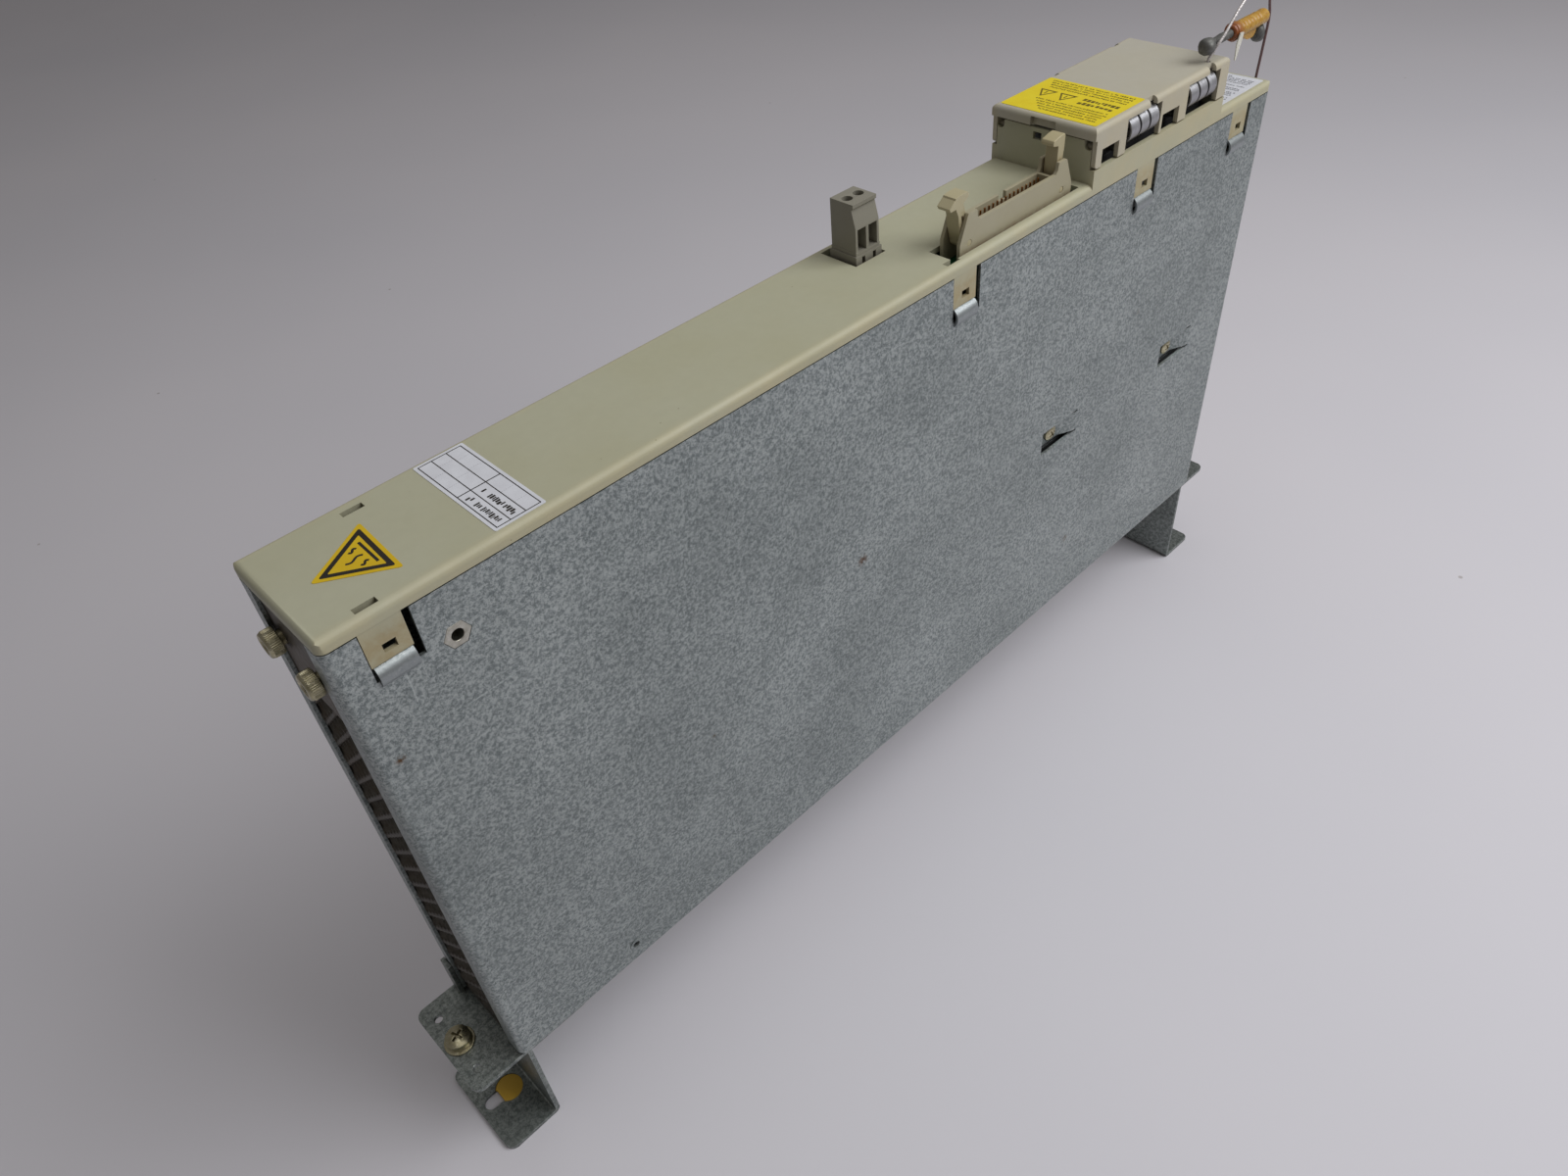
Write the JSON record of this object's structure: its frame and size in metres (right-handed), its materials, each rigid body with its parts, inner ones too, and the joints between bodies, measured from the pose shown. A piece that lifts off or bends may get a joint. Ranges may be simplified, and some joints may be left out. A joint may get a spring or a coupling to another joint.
{
  "type": "servo drive module",
  "caption": "Slim rack servo drive module: folded zinc housing on two wall brackets, moulded front with hinged bus-bar lid, latched ribbon header and plug-in terminal.",
  "frame": {"origin": "centre of the module's footprint, on the plane the two bracket feet stand on", "axes": "+X along the housing from the keyhole bracket and hot end towards the bus-bar box, +Y across the module's width away from the visible side panel, +Z from the mounting plane to the front cover"},
  "size_m": [0.521, 0.0536, 0.3381],
  "materials": {
    "zinc_sheet": "satin galvanised",
    "end_mesh": "dark zinc",
    "cover_plastic": "fine texture",
    "lid_plastic": "fine texture",
    "tinned_copper": "bright",
    "spring_metal": "bright",
    "black_plastic": "matt",
    "header_plastic": "satin",
    "latch_plastic": "satin",
    "pin_metal": "tarnished",
    "terminal_plastic": "matt",
    "nickel": "plated",
    "yellow_zinc": "passivated",
    "bracket_zinc": "galvanised",
    "yellow_cap": "matt",
    "circuit_board": "solder mask",
    "aluminium": "extruded",
    "ceramic": "unglazed",
    "can_sleeve": "sleeve",
    "insulator_film": "film",
    "ribbon_grey": "flat cable",
    "label_yellow": "print film",
    "label_white": "print film",
    "seal_steel": "wire",
    "seal_yellow": "moulded",
    "seal_lead": "crimped"
  },
  "bodies": {
    "housing": {"near_side_panel": "zinc_sheet", "chassis": "zinc_sheet", "top_grille": "end_mesh", "bottom_grille": "end_mesh", "end_screws": "yellow_zinc", "front_cover": "cover_plastic", "busbar_plus": "tinned_copper", "busbar_minus": "tinned_copper", "link_spring_plus": "spring_metal", "link_spring_minus": "spring_metal", "bus_insulator": "black_plastic", "header_body": "header_plastic", "header_pins": "pin_metal", "front_board": "circuit_board", "front_board_posts": "nickel", "terminal_socket": "terminal_plastic", "terminal_pins": "nickel", "top_bracket": "bracket_zinc", "bottom_bracket": "bracket_zinc", "top_tab": "bracket_zinc", "bottom_tab": "bracket_zinc", "bracket_rivets": "aluminium", "earth_screws": "yellow_zinc", "earth_washers": "yellow_zinc", "keyhole_plug": "yellow_cap", "panel_insert": "nickel", "side_screws": "yellow_zinc", "main_board": "circuit_board", "board_standoffs": "nickel", "board_screws": "nickel", "heatsink": "aluminium", "power_modules": "black_plastic", "module_screws": "nickel", "resistor_cores": "ceramic", "resistor_brackets": "bracket_zinc", "resistor_rods": "nickel", "dc_capacitors": "can_sleeve", "insulation_sheet": "insulator_film", "ribbon_cable": "ribbon_grey", "hot_surface_label": "label_yellow", "rating_label": "label_white", "info_label": "label_white"},
    "lid": {"busbar_lid": "lid_plastic", "danger_label": "label_yellow", "seal_wire": "seal_steel", "seal_body": "seal_yellow", "seal_pellets": "seal_lead"},
    "left_latch": {"latch_left": "latch_plastic"},
    "right_latch": {"latch_right": "latch_plastic"},
    "plug": {"terminal_plug": "terminal_plastic"},
    "screw_1": {"terminal_screw_1": "nickel"},
    "screw_2": {"terminal_screw_2": "nickel"},
    "cage_1": {"clamp_cage_1": "nickel"},
    "cage_2": {"clamp_cage_2": "nickel"}
  },
  "joints": [
    {"name": "lid_hinge", "type": "hinge", "parent": "housing", "child": "lid", "pos_m": [0.1022, 0, 0.3015], "axis": [0, -1, 0], "range_deg": [0, 90]},
    {"name": "left_latch_hinge", "type": "hinge", "parent": "housing", "child": "left_latch", "pos_m": [0.0275, -0.0156, 0.2905], "axis": [0, 1, 0], "range_deg": [-16, 14]},
    {"name": "right_latch_hinge", "type": "hinge", "parent": "housing", "child": "right_latch", "pos_m": [0.0841, -0.0156, 0.2905], "axis": [0, 1, 0], "range_deg": [-6, 8]},
    {"name": "plug_slide", "type": "slide", "parent": "housing", "child": "plug", "axis": [0, 0, 1], "range_m": [0, 0.012]},
    {"name": "screw_1_turn", "type": "hinge", "parent": "plug", "child": "screw_1", "pos_m": [-0.0026, 0.012, 0.303], "axis": [0, 0, 1], "range_deg": [0, 1081]},
    {"name": "screw_2_turn", "type": "hinge", "parent": "plug", "child": "screw_2", "pos_m": [0.0032, 0.012, 0.303], "axis": [0, 0, 1], "range_deg": [0, 1081]},
    {"name": "cage_1_slide", "type": "slide", "parent": "plug", "child": "cage_1", "axis": [0, 0, 1], "range_m": [0, 0.0015]},
    {"name": "cage_2_slide", "type": "slide", "parent": "plug", "child": "cage_2", "axis": [0, 0, 1], "range_m": [0, 0.0015]}
  ],
  "couplings": [
    {"joint": "screw_1_turn", "follows": "cage_1_slide", "rad_per_m": 12566},
    {"joint": "screw_2_turn", "follows": "cage_2_slide", "rad_per_m": 12566}
  ]
}
